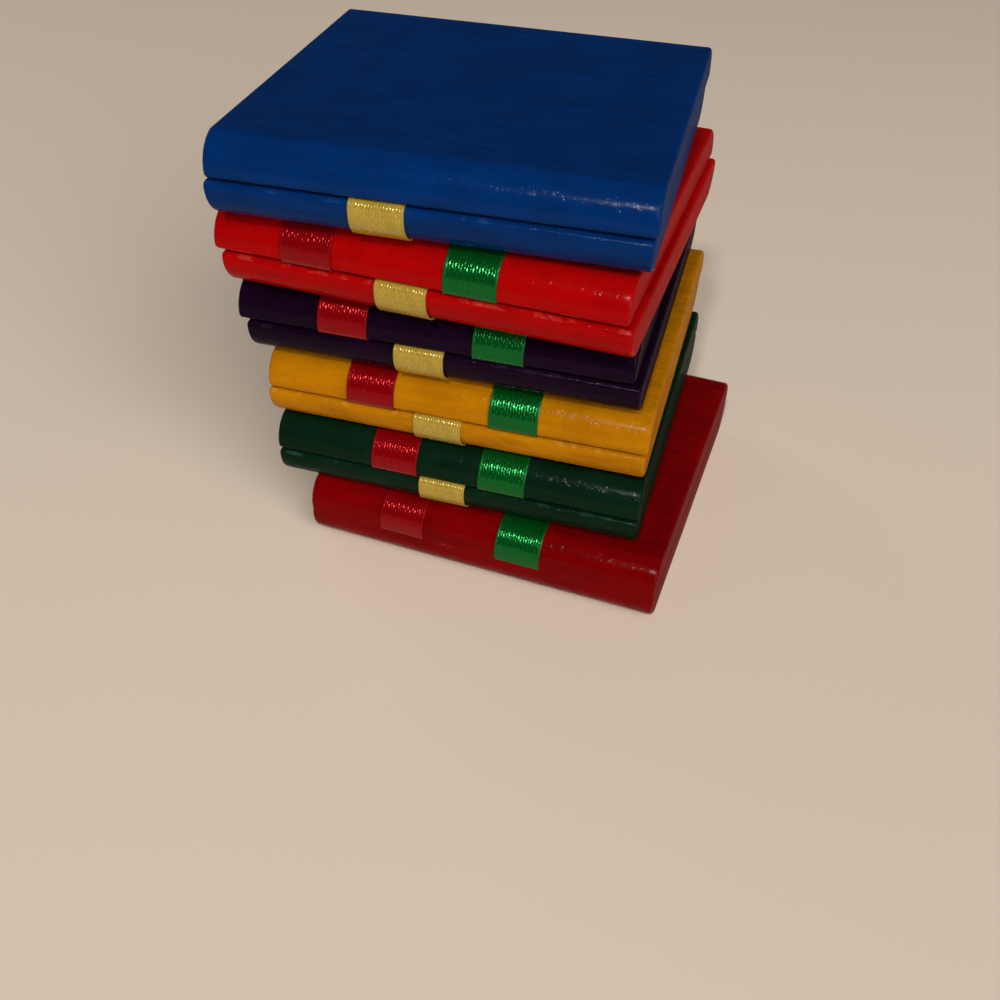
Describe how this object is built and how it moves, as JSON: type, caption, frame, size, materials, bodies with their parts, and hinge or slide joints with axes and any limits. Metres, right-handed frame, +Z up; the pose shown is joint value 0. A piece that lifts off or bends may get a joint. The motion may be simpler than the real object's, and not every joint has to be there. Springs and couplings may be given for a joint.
{
  "type": "jacobs ladder toy",
  "caption": "Jacob's ladder toy: painted wooden tablets, each of two leaves glued over crossed satin ribbons that hinge it to the next at either end, lying as a loose stack.",
  "frame": {"origin": "centre of the base (crimson) tablet's underside, on the surface it stands on", "axes": "+Z up through the stack; +X across the ribbons, to the right as seen from the front ends; +Y along the tablets, from the front ends to the rear; both square to the base tablet's sides"},
  "size_m": [0.0611, 0.0593, 0.0619],
  "materials": {
    "blue_paint": "gloss enamel brushed on wood",
    "scarlet_paint": "gloss enamel brushed on wood",
    "purple_paint": "gloss enamel brushed on wood",
    "yellow_paint": "gloss enamel brushed on wood",
    "green_paint": "gloss enamel brushed on wood",
    "crimson_paint": "gloss enamel brushed on wood",
    "red_ribbon": "woven satin ribbon",
    "gold_ribbon": "woven satin ribbon",
    "green_ribbon": "woven satin ribbon"
  },
  "bodies": {
    "blue_tablet": {"blue_upper_leaf": "blue_paint", "blue_lower_leaf": "blue_paint", "red_ribbon_in_blue": "red_ribbon", "gold_ribbon_in_blue": "gold_ribbon", "green_ribbon_in_blue": "green_ribbon"},
    "scarlet_tablet": {"scarlet_upper_leaf": "scarlet_paint", "scarlet_lower_leaf": "scarlet_paint", "red_ribbon_in_scarlet": "red_ribbon", "gold_ribbon_in_scarlet": "gold_ribbon", "green_ribbon_in_scarlet": "green_ribbon"},
    "purple_tablet": {"purple_upper_leaf": "purple_paint", "purple_lower_leaf": "purple_paint", "red_ribbon_in_purple": "red_ribbon", "gold_ribbon_in_purple": "gold_ribbon", "green_ribbon_in_purple": "green_ribbon"},
    "yellow_tablet": {"yellow_upper_leaf": "yellow_paint", "yellow_lower_leaf": "yellow_paint", "red_ribbon_in_yellow": "red_ribbon", "gold_ribbon_in_yellow": "gold_ribbon", "green_ribbon_in_yellow": "green_ribbon"},
    "green_tablet": {"green_upper_leaf": "green_paint", "green_lower_leaf": "green_paint", "red_ribbon_in_green": "red_ribbon", "gold_ribbon_in_green": "gold_ribbon", "green_ribbon_in_green": "green_ribbon"},
    "crimson_tablet": {"crimson_upper_leaf": "crimson_paint", "crimson_lower_leaf": "crimson_paint", "red_ribbon_in_crimson": "red_ribbon", "gold_ribbon_in_crimson": "gold_ribbon", "green_ribbon_in_crimson": "green_ribbon"},
    "outer_ribbons_under_blue": {"red_ribbon_under_blue": "red_ribbon", "green_ribbon_under_blue": "green_ribbon"},
    "gold_front_under_blue": {"gold_ribbon_under_blue_front": "gold_ribbon"},
    "gold_rear_under_blue": {"gold_ribbon_under_blue_rear": "gold_ribbon"},
    "outer_ribbons_under_scarlet": {"red_ribbon_under_scarlet": "red_ribbon", "green_ribbon_under_scarlet": "green_ribbon"},
    "gold_front_under_scarlet": {"gold_ribbon_under_scarlet_front": "gold_ribbon"},
    "gold_rear_under_scarlet": {"gold_ribbon_under_scarlet_rear": "gold_ribbon"},
    "outer_ribbons_under_purple": {"red_ribbon_under_purple": "red_ribbon", "green_ribbon_under_purple": "green_ribbon"},
    "gold_front_under_purple": {"gold_ribbon_under_purple_front": "gold_ribbon"},
    "gold_rear_under_purple": {"gold_ribbon_under_purple_rear": "gold_ribbon"},
    "outer_ribbons_under_yellow": {"red_ribbon_under_yellow": "red_ribbon", "green_ribbon_under_yellow": "green_ribbon"},
    "gold_front_under_yellow": {"gold_ribbon_under_yellow_front": "gold_ribbon"},
    "gold_rear_under_yellow": {"gold_ribbon_under_yellow_rear": "gold_ribbon"},
    "outer_ribbons_under_green": {"red_ribbon_under_green": "red_ribbon", "green_ribbon_under_green": "green_ribbon"},
    "gold_front_under_green": {"gold_ribbon_under_green_front": "gold_ribbon"},
    "gold_rear_under_green": {"gold_ribbon_under_green_rear": "gold_ribbon"}
  },
  "joints": [
    {"name": "front_hinge_under_blue", "type": "hinge", "parent": "scarlet_tablet", "child": "outer_ribbons_under_blue", "pos_m": [-0.00603, -0.02903, 0.05177], "axis": [-0.9981, -0.0619, 0], "range_deg": [-181, 0]},
    {"name": "rear_hinge_under_blue", "type": "hinge", "parent": "outer_ribbons_under_blue", "child": "blue_tablet", "pos_m": [-0.00917, 0.02173, 0.05177], "axis": [-0.9981, -0.0619, 0], "range_deg": [0, 181]},
    {"name": "gold_front_fold_under_blue", "type": "hinge", "parent": "blue_tablet", "child": "gold_front_under_blue", "pos_m": [-0.00603, -0.02903, 0.05177], "axis": [-0.9981, -0.0619, 0], "range_deg": [0, 181]},
    {"name": "gold_rear_fold_under_blue", "type": "hinge", "parent": "scarlet_tablet", "child": "gold_rear_under_blue", "pos_m": [-0.00917, 0.02173, 0.05177], "axis": [-0.9981, -0.0619, 0], "range_deg": [0, 181]},
    {"name": "front_hinge_under_scarlet", "type": "hinge", "parent": "purple_tablet", "child": "outer_ribbons_under_scarlet", "pos_m": [-0.00664, -0.02795, 0.04137], "axis": [0.9987, 0.0515, 0], "range_deg": [0, 181]},
    {"name": "rear_hinge_under_scarlet", "type": "hinge", "parent": "outer_ribbons_under_scarlet", "child": "scarlet_tablet", "pos_m": [-0.00934, 0.02451, 0.04137], "axis": [0.9987, 0.0515, 0], "range_deg": [-181, 0]},
    {"name": "gold_front_fold_under_scarlet", "type": "hinge", "parent": "scarlet_tablet", "child": "gold_front_under_scarlet", "pos_m": [-0.00664, -0.02795, 0.04137], "axis": [0.9987, 0.0515, 0], "range_deg": [-181, 0]},
    {"name": "gold_rear_fold_under_scarlet", "type": "hinge", "parent": "purple_tablet", "child": "gold_rear_under_scarlet", "pos_m": [-0.00934, 0.02451, 0.04137], "axis": [0.9987, 0.0515, 0], "range_deg": [-181, 0]},
    {"name": "front_hinge_under_purple", "type": "hinge", "parent": "yellow_tablet", "child": "outer_ribbons_under_purple", "pos_m": [-0.00484, -0.02816, 0.03096], "axis": [-0.997, -0.0776, 0], "range_deg": [-181, 0]},
    {"name": "rear_hinge_under_purple", "type": "hinge", "parent": "outer_ribbons_under_purple", "child": "purple_tablet", "pos_m": [-0.00905, 0.02587, 0.03096], "axis": [-0.997, -0.0776, 0], "range_deg": [0, 181]},
    {"name": "gold_front_fold_under_purple", "type": "hinge", "parent": "purple_tablet", "child": "gold_front_under_purple", "pos_m": [-0.00484, -0.02816, 0.03096], "axis": [-0.997, -0.0776, 0], "range_deg": [0, 181]},
    {"name": "gold_rear_fold_under_purple", "type": "hinge", "parent": "yellow_tablet", "child": "gold_rear_under_purple", "pos_m": [-0.00905, 0.02587, 0.03096], "axis": [-0.997, -0.0776, 0], "range_deg": [0, 181]},
    {"name": "front_hinge_under_yellow", "type": "hinge", "parent": "green_tablet", "child": "outer_ribbons_under_yellow", "pos_m": [-0.00373, -0.02584, 0.02056], "axis": [0.9977, 0.068, 0], "range_deg": [0, 181]},
    {"name": "rear_hinge_under_yellow", "type": "hinge", "parent": "outer_ribbons_under_yellow", "child": "yellow_tablet", "pos_m": [-0.00728, 0.02624, 0.02056], "axis": [0.9977, 0.068, 0], "range_deg": [-181, 0]},
    {"name": "gold_front_fold_under_yellow", "type": "hinge", "parent": "yellow_tablet", "child": "gold_front_under_yellow", "pos_m": [-0.00373, -0.02584, 0.02056], "axis": [0.9977, 0.068, 0], "range_deg": [-181, 0]},
    {"name": "gold_rear_fold_under_yellow", "type": "hinge", "parent": "green_tablet", "child": "gold_rear_under_yellow", "pos_m": [-0.00728, 0.02624, 0.02056], "axis": [0.9977, 0.068, 0], "range_deg": [-181, 0]},
    {"name": "front_hinge_under_green", "type": "hinge", "parent": "crimson_tablet", "child": "outer_ribbons_under_green", "pos_m": [-0.0019, -0.02503, 0.01015], "axis": [-0.9995, -0.0305, 0], "range_deg": [-181, 0]},
    {"name": "rear_hinge_under_green", "type": "hinge", "parent": "outer_ribbons_under_green", "child": "green_tablet", "pos_m": [-0.00345, 0.02583, 0.01015], "axis": [-0.9995, -0.0305, 0], "range_deg": [0, 181]},
    {"name": "gold_front_fold_under_green", "type": "hinge", "parent": "green_tablet", "child": "gold_front_under_green", "pos_m": [-0.0019, -0.02503, 0.01015], "axis": [-0.9995, -0.0305, 0], "range_deg": [0, 181]},
    {"name": "gold_rear_fold_under_green", "type": "hinge", "parent": "crimson_tablet", "child": "gold_rear_under_green", "pos_m": [-0.00345, 0.02583, 0.01015], "axis": [-0.9995, -0.0305, 0], "range_deg": [0, 181]}
  ],
  "couplings": [
    {"joint": "gold_front_fold_under_blue", "follows": "front_hinge_under_blue", "ratio": -1},
    {"joint": "gold_rear_fold_under_blue", "follows": "rear_hinge_under_blue", "ratio": 1},
    {"joint": "gold_front_fold_under_scarlet", "follows": "front_hinge_under_scarlet", "ratio": -1},
    {"joint": "gold_rear_fold_under_scarlet", "follows": "rear_hinge_under_scarlet", "ratio": 1},
    {"joint": "gold_front_fold_under_purple", "follows": "front_hinge_under_purple", "ratio": -1},
    {"joint": "gold_rear_fold_under_purple", "follows": "rear_hinge_under_purple", "ratio": 1},
    {"joint": "gold_front_fold_under_yellow", "follows": "front_hinge_under_yellow", "ratio": -1},
    {"joint": "gold_rear_fold_under_yellow", "follows": "rear_hinge_under_yellow", "ratio": 1},
    {"joint": "gold_front_fold_under_green", "follows": "front_hinge_under_green", "ratio": -1},
    {"joint": "gold_rear_fold_under_green", "follows": "rear_hinge_under_green", "ratio": 1}
  ]
}
